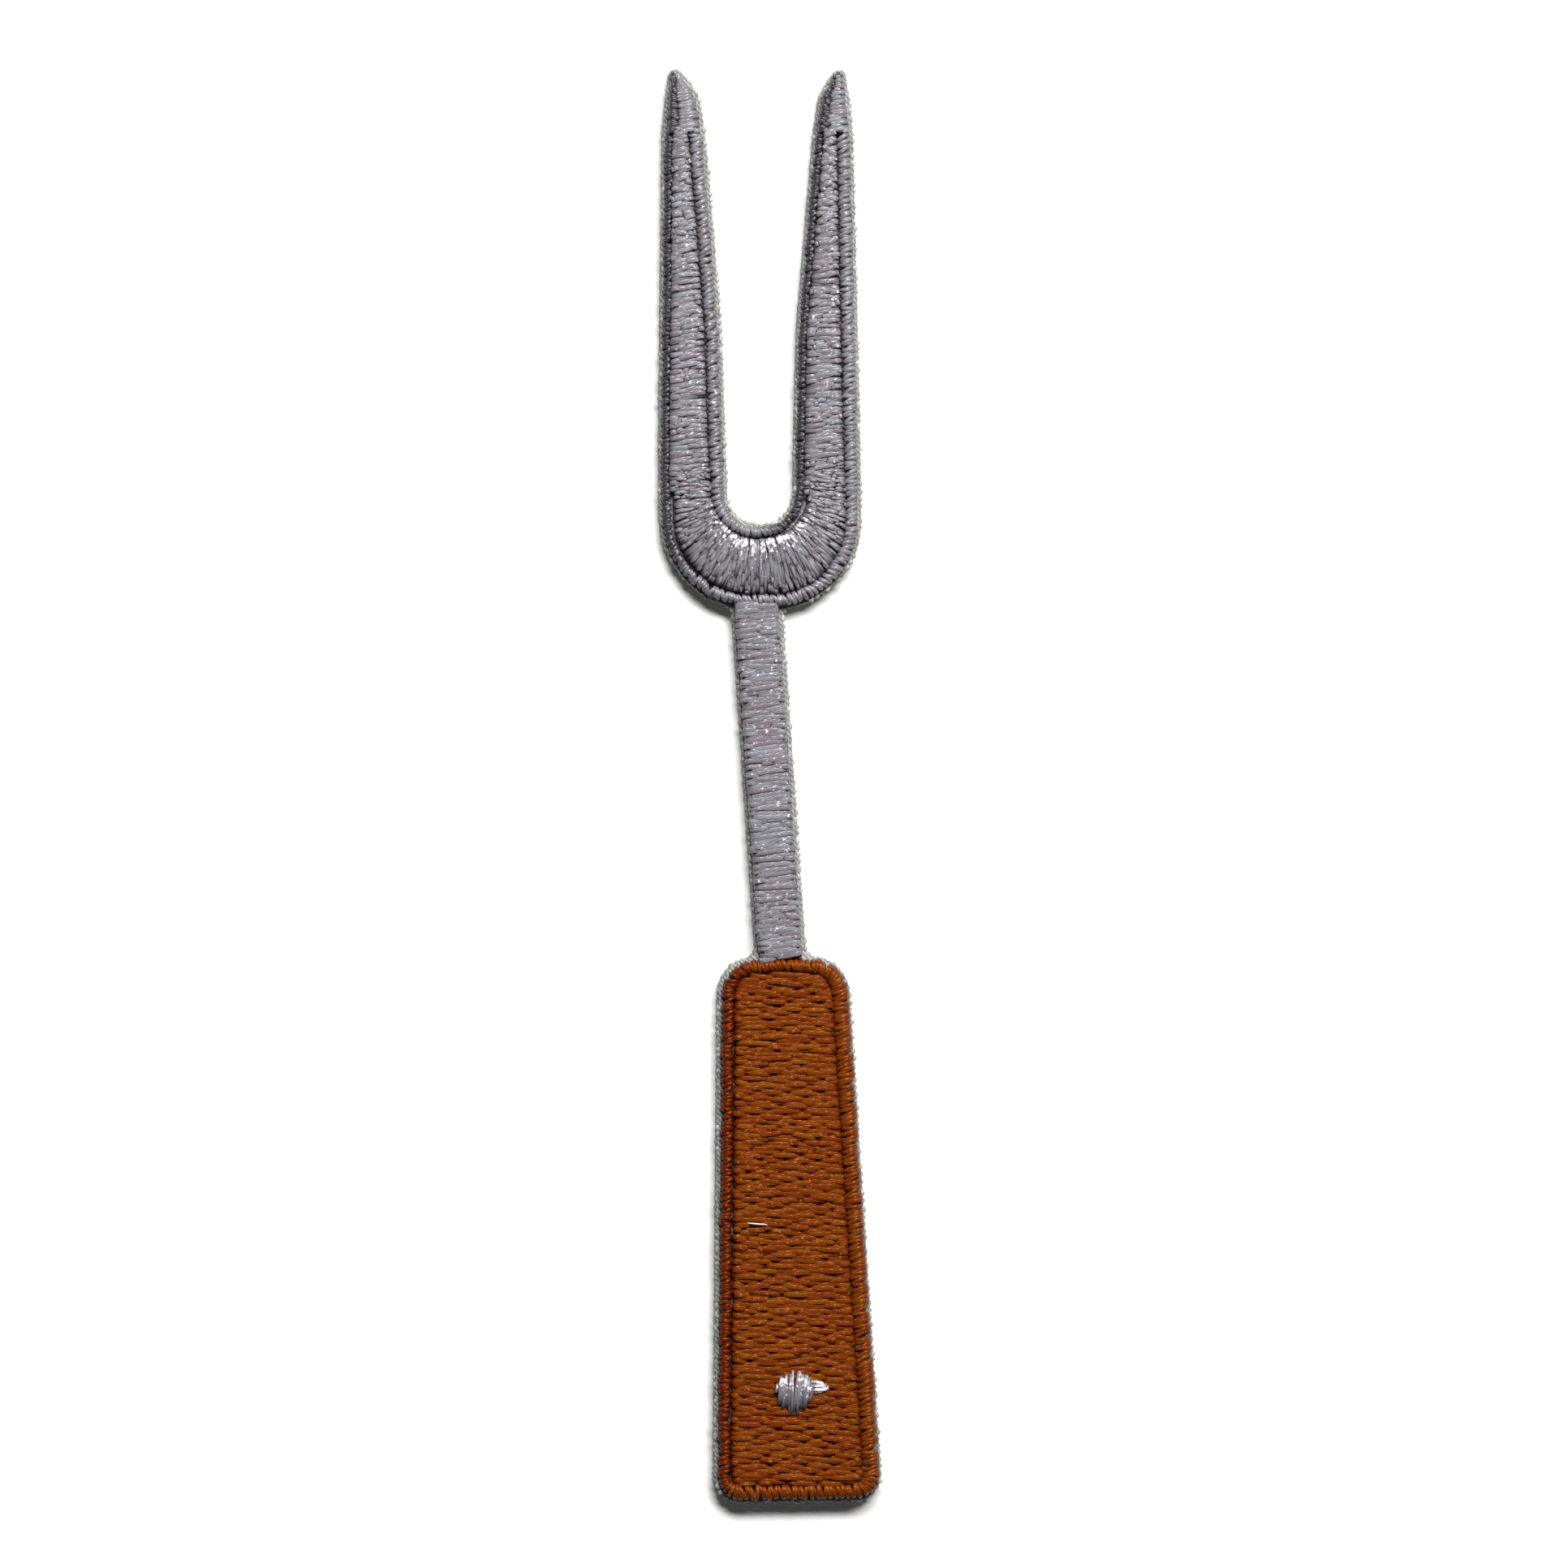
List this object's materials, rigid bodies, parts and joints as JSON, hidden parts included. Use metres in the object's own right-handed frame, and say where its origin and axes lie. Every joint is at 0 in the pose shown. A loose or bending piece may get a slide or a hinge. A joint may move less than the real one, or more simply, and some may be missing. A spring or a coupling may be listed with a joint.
{
  "type": "embroidered iron-on patch",
  "caption": "Flat embroidered iron-on patch in the shape of a two-tine roasting fork, with grey tines and shank and a brown riveted handle.",
  "frame": {"origin": "middle of the bounding box on the adhesive back face, which the patch lies on", "axes": "+Z out of the stitched face, +Y along the fork from the handle to the tine tips, +X to the right of the stitched face"},
  "size_m": [0.0136, 0.0962, 0.0019],
  "materials": {
    "grey_thread": "glossy trilobal embroidery thread, cool grey",
    "brown_thread": "glossy trilobal embroidery thread, saddle brown",
    "bobbin_thread": "fine matt spun thread, white",
    "twill_cloth": "pale grey twill weave with a cut edge",
    "stabilizer": "white non-woven fibre sheet",
    "heat_seal_film": "milky heat-seal film, slightly glossy"
  },
  "bodies": {
    "root": {"base_twill": "twill_cloth", "bobbin_pull_up": "bobbin_thread", "handle_bobbin": "bobbin_thread", "handle_border": "brown_thread", "handle_fill": "brown_thread", "handle_underlay": "brown_thread", "head_inner_border": "grey_thread", "head_outer_border": "grey_thread", "heat_seal_film": "heat_seal_film", "left_tine_bobbin": "bobbin_thread", "left_tine_satin": "grey_thread", "left_tine_underlay": "grey_thread", "left_tip_satin": "grey_thread", "right_tine_bobbin": "bobbin_thread", "right_tine_satin": "grey_thread", "right_tine_underlay": "grey_thread", "right_tip_satin": "grey_thread", "rivet_satin": "grey_thread", "rivet_tie_off": "grey_thread", "shank_bobbin": "bobbin_thread", "shank_satin": "grey_thread", "shank_underlay": "grey_thread", "stabilizer_backing": "stabilizer", "yoke_bobbin": "bobbin_thread", "yoke_satin": "grey_thread", "yoke_underlay": "grey_thread"}
  },
  "joints": []
}
